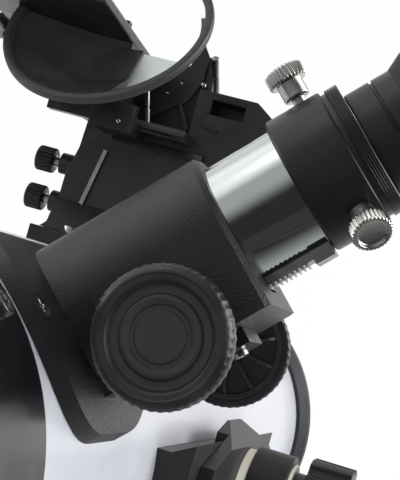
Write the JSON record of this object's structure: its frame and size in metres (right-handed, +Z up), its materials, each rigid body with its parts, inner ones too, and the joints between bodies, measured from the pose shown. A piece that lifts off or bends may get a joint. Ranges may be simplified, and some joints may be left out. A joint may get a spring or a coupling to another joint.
{
  "type": "dobsonian telescope",
  "caption": "Table-top Newtonian reflector on a one-arm rocker base, with a rack and pinion focuser, an eyepiece and a mirror phone dock above the tube.",
  "frame": {"origin": "on the table plane, on the azimuth axis", "axes": "+Z up, the telescope looks towards -Y and upwards, the side arm and the focuser are on the +X side"},
  "size_m": [0.3045, 0.5169, 0.5588],
  "materials": {
    "board_black": "black melamine on chipboard, satin",
    "arm_black": "black melamine on chipboard, satin",
    "feet_rubber": "black rubber, matt",
    "pad_white": "white PTFE, matt",
    "steel": "zinc plated steel",
    "bearing_plastic": "ivory acetal, satin",
    "tube_paint": "pale silver grey paint, satin",
    "collar_gloss": "black moulded plastic, gloss",
    "cell_black": "dark grey moulded plastic, satin",
    "cast_grey": "black powder coat on cast aluminium",
    "focuser_black": "black moulded plastic, fine grain",
    "chrome": "polished chrome plate",
    "rack_metal": "milled metal, satin",
    "knob_grey": "dark grey moulded plastic, satin",
    "grip_rubber": "dark grey rubber, matt",
    "cover_grey": "grey zinc alloy, satin",
    "adapter_black": "black anodised metal, satin",
    "nickel": "nickel plate, polished",
    "eyepiece_black": "black anodised metal, satin",
    "lens_glass": "coated glass, clear",
    "eyecup_rubber": "black rubber, matt",
    "mirror_coat": "aluminised glass",
    "dock_black": "black moulded plastic, satin",
    "hood_black": "black moulded plastic, satin",
    "small_screws": "zinc plated steel",
    "blackened_metal": "black paint, matt",
    "cell_metal": "cast aluminium"
  },
  "bodies": {
    "base": {"ground_board": "board_black", "ground_feet": "feet_rubber", "glide_pads": "pad_white", "azimuth_bolt": "steel", "azimuth_nut": "steel"},
    "turntable": {"turntable_board": "board_black", "side_arm": "arm_black", "arm_braces": "arm_black", "arm_screws": "steel", "altitude_bush": "bearing_plastic"},
    "optical_tube": {"tube_saddle": "cast_grey", "altitude_shaft": "steel", "friction_washer": "bearing_plastic", "dovetail_bar": "blackened_metal", "mount_screws": "small_screws", "tube": "tube_paint", "front_collar": "collar_gloss", "tube_end_screws": "small_screws", "rear_cell": "cell_black", "mirror_plate": "cell_metal", "primary_mirror": "mirror_coat", "mirror_clips": "cell_black", "spacer_sleeves": "feet_rubber", "spider": "blackened_metal", "spider_screws": "small_screws", "secondary_holder": "blackened_metal", "secondary_mirror": "mirror_coat", "secondary_screws": "small_screws", "focuser_body": "focuser_black", "focuser_screws": "small_screws", "pinion_cover": "cover_grey", "cover_screws": "small_screws", "dock_shoe": "dock_black"},
    "tension_knob": {"tension_knob": "cell_black"},
    "saddle_jaw": {"saddle_jaw": "cast_grey"},
    "clamp_knob": {"clamp_knob": "cell_black"},
    "collimation_knob_1": {"collimation_knob_1": "cell_black"},
    "collimation_knob_2": {"collimation_knob_2": "cell_black"},
    "collimation_knob_3": {"collimation_knob_3": "cell_black"},
    "drawtube": {"drawtube": "chrome", "focus_rack": "rack_metal", "eyepiece_adapter": "adapter_black"},
    "pinion": {"pinion_shaft": "steel", "near_knob": "knob_grey", "far_knob": "knob_grey", "knob_grips": "grip_rubber"},
    "adapter_thumbscrew_1": {"adapter_thumbscrew_1": "nickel"},
    "adapter_thumbscrew_2": {"adapter_thumbscrew_2": "nickel"},
    "eyepiece": {"eyepiece_barrel": "chrome", "eyepiece_body": "eyepiece_black", "eyepiece_lenses": "lens_glass", "eyecup": "eyecup_rubber"},
    "phone_dock": {"dock_bracket": "dock_black", "dock_hood": "hood_black", "dock_mirror": "mirror_coat", "phone_tray": "dock_black"},
    "dock_thumbscrew_1": {"dock_thumbscrew_1": "dock_black"},
    "dock_thumbscrew_2": {"dock_thumbscrew_2": "dock_black"},
    "phone_clamp": {"phone_clamp": "dock_black"}
  },
  "joints": [
    {"name": "azimuth", "type": "hinge", "parent": "base", "child": "turntable", "pos_m": [0, 0, 0.045], "axis": [0, 0, 1], "continuous": true},
    {"name": "altitude", "type": "hinge", "parent": "turntable", "child": "optical_tube", "pos_m": [0.1, 0, 0.345], "axis": [-1, 0, 0], "range_deg": [-30, 60]},
    {"name": "altitude_tension", "type": "hinge", "parent": "optical_tube", "child": "tension_knob", "pos_m": [0.124, 0, 0.345], "axis": [1, 0, 0], "range_deg": [0, 180]},
    {"name": "jaw_slide", "type": "slide", "parent": "optical_tube", "child": "saddle_jaw", "axis": [0, -0.5, -0.866], "range_m": [0, 0.0035]},
    {"name": "jaw_clamp", "type": "hinge", "parent": "optical_tube", "child": "clamp_knob", "pos_m": [0.0795, -0.0225, 0.30603], "axis": [0, -0.5, -0.866], "range_deg": [0, 1260]},
    {"name": "collimation_1", "type": "hinge", "parent": "optical_tube", "child": "collimation_knob_1", "pos_m": [0.03464, 0.22651, 0.23732], "axis": [0, 0.866, -0.5], "range_deg": [-180, 180]},
    {"name": "collimation_2", "type": "hinge", "parent": "optical_tube", "child": "collimation_knob_2", "pos_m": [0, 0.19651, 0.18536], "axis": [0, 0.866, -0.5], "range_deg": [-180, 180]},
    {"name": "collimation_3", "type": "hinge", "parent": "optical_tube", "child": "collimation_knob_3", "pos_m": [-0.03464, 0.22651, 0.23732], "axis": [0, 0.866, -0.5], "range_deg": [-180, 180]},
    {"name": "focus_slide", "type": "slide", "parent": "optical_tube", "child": "drawtube", "axis": [0.7071, 0.3536, 0.6124], "range_m": [-0.02, 0.02]},
    {"name": "focus_pinion", "type": "hinge", "parent": "optical_tube", "child": "pinion", "pos_m": [0.09069, -0.10501, 0.46911], "axis": [0, 0.866, -0.5], "range_deg": [-320, 320]},
    {"name": "eyepiece_lock_1", "type": "hinge", "parent": "drawtube", "child": "adapter_thumbscrew_1", "pos_m": [0.0968, -0.06572, 0.53718], "axis": [-0.7071, 0.3536, 0.6124], "range_deg": [0, 720]},
    {"name": "eyepiece_lock_2", "type": "hinge", "parent": "drawtube", "child": "adapter_thumbscrew_2", "pos_m": [0.12927, -0.09642, 0.51741], "axis": [0.5417, -0.8275, -0.1477], "range_deg": [0, 720]},
    {"name": "eyepiece_pull", "type": "slide", "parent": "drawtube", "child": "eyepiece", "axis": [0.7071, 0.3536, 0.6124], "range_m": [0, 0.035]},
    {"name": "dock_lift", "type": "slide", "parent": "optical_tube", "child": "phone_dock", "axis": [0, 0.5, 0.866], "range_m": [0, 0.03]},
    {"name": "dock_lock_1", "type": "hinge", "parent": "phone_dock", "child": "dock_thumbscrew_1", "pos_m": [-0.02, 0.04597, 0.44062], "axis": [-1, 0, 0], "range_deg": [0, 720]},
    {"name": "dock_lock_2", "type": "hinge", "parent": "phone_dock", "child": "dock_thumbscrew_2", "pos_m": [-0.02, 0.03797, 0.42677], "axis": [-1, 0, 0], "range_deg": [0, 720]},
    {"name": "phone_clamp_slide", "type": "slide", "parent": "phone_dock", "child": "phone_clamp", "axis": [0, -0.8161, 0.5779], "range_m": [0, 0.02]}
  ],
  "couplings": [
    {"joint": "focus_pinion", "follows": "focus_slide", "rad_per_m": 266.67},
    {"joint": "jaw_clamp", "follows": "jaw_slide", "rad_per_m": 6283.2}
  ]
}
